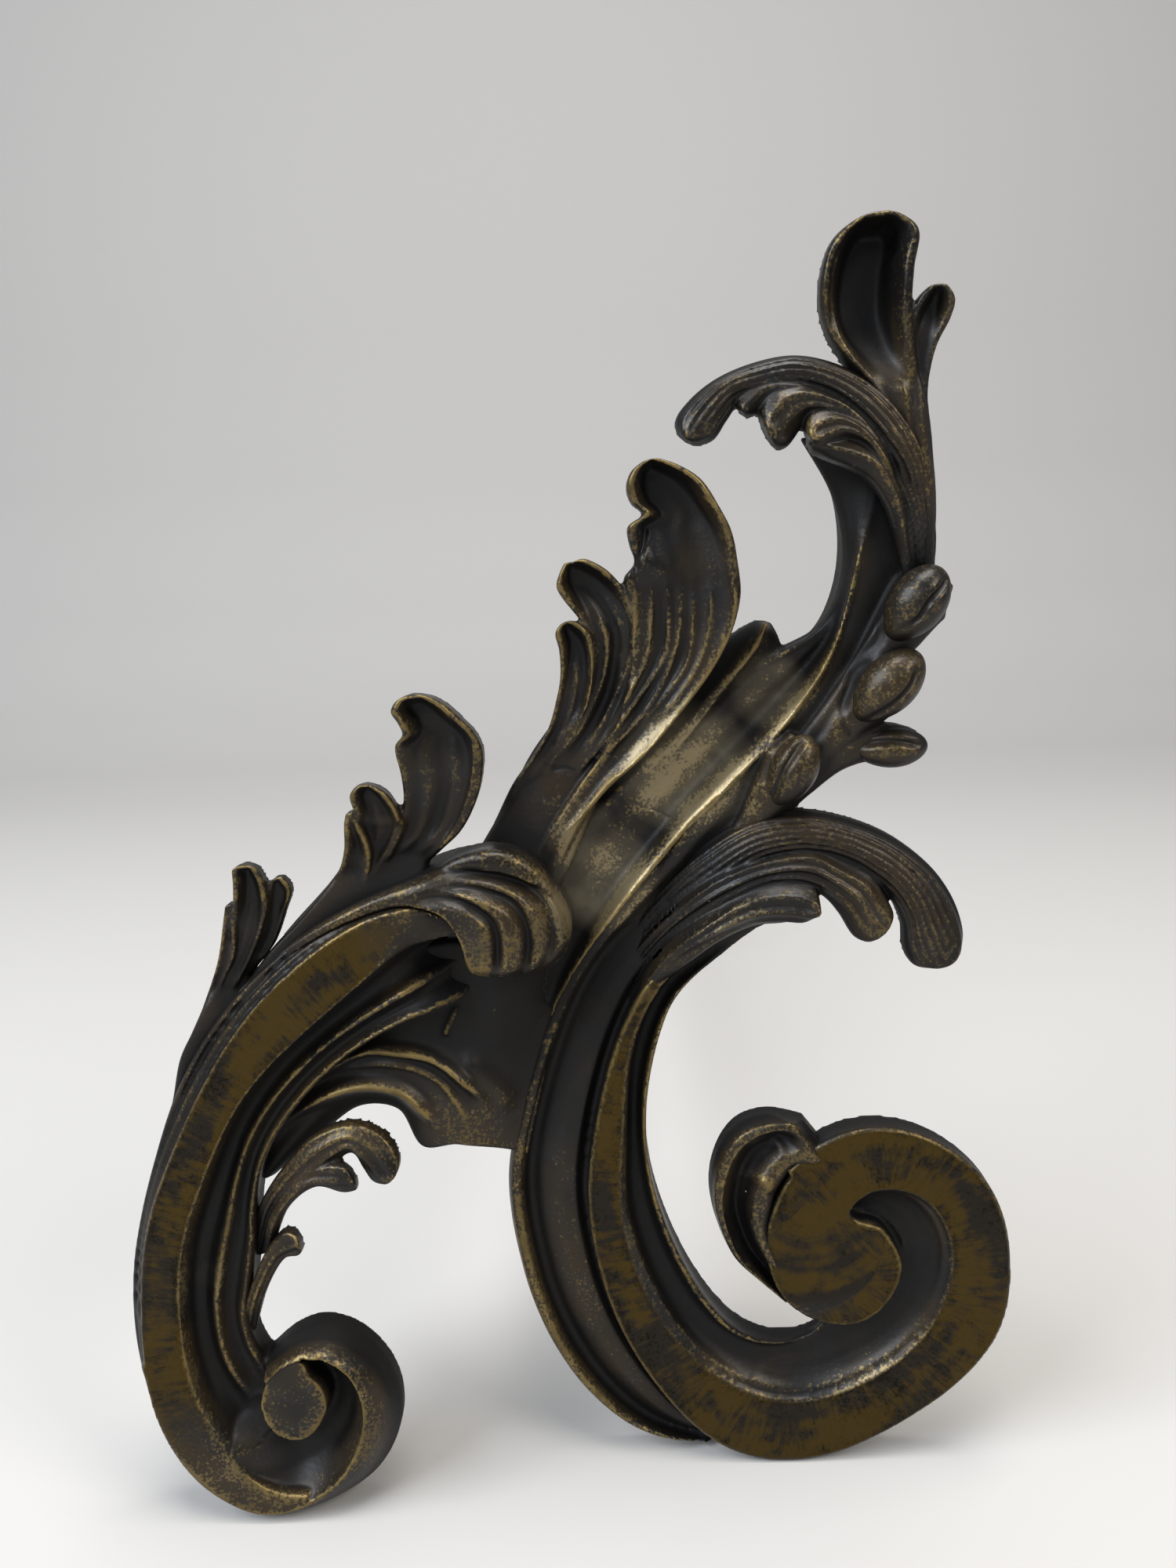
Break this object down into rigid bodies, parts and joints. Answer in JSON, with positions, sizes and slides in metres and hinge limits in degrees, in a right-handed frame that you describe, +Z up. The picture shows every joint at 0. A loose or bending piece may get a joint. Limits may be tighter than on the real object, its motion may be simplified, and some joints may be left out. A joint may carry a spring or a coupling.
{
  "type": "andiron",
  "caption": "Scrolled cast-bronze andiron with leaf sprays and buds on the front, and a square iron log bar with a rear leg behind.",
  "frame": {"origin": "middle of the floor area that the whole andiron covers, on the floor", "axes": "+X to the right of the ornamented front as seen by a viewer, +Y back along the log bar, +Z up"},
  "size_m": [0.163, 0.3168, 0.2261],
  "materials": {
    "bronze": "dark brown patinated bronze, semi-gloss, gold metal rubbed through on edges",
    "bronze_worn": "patinated bronze with much gold metal showing on the ribs",
    "iron": "forged iron, matt black-brown"
  },
  "bodies": {
    "root": {"right_scroll": "bronze", "left_arm": "bronze", "stem": "bronze", "arch_web": "bronze", "crown_leaf": "bronze", "inner_leaf": "bronze", "inner_sprig": "bronze", "volute_leaf": "bronze", "bud_top": "bronze", "bud_middle": "bronze", "bud_side": "bronze", "bud_lower": "bronze", "knuckle_leaf": "bronze_worn", "tall_leaf": "bronze_worn", "crown_side_leaf": "bronze_worn", "drooping_leaf": "bronze_worn", "shoulder_leaf": "bronze_worn", "outer_leaf": "bronze_worn", "log_bar": "iron", "rear_leg": "iron", "splice_plate": "iron", "splice_screw_upper": "iron", "splice_screw_lower": "iron", "arm_screw_upper": "iron", "arm_screw_lower": "iron", "tang_bolt_upper": "iron", "tang_bolt_lower": "iron", "tang_washer_upper": "iron", "tang_washer_lower": "iron"}
  },
  "joints": []
}
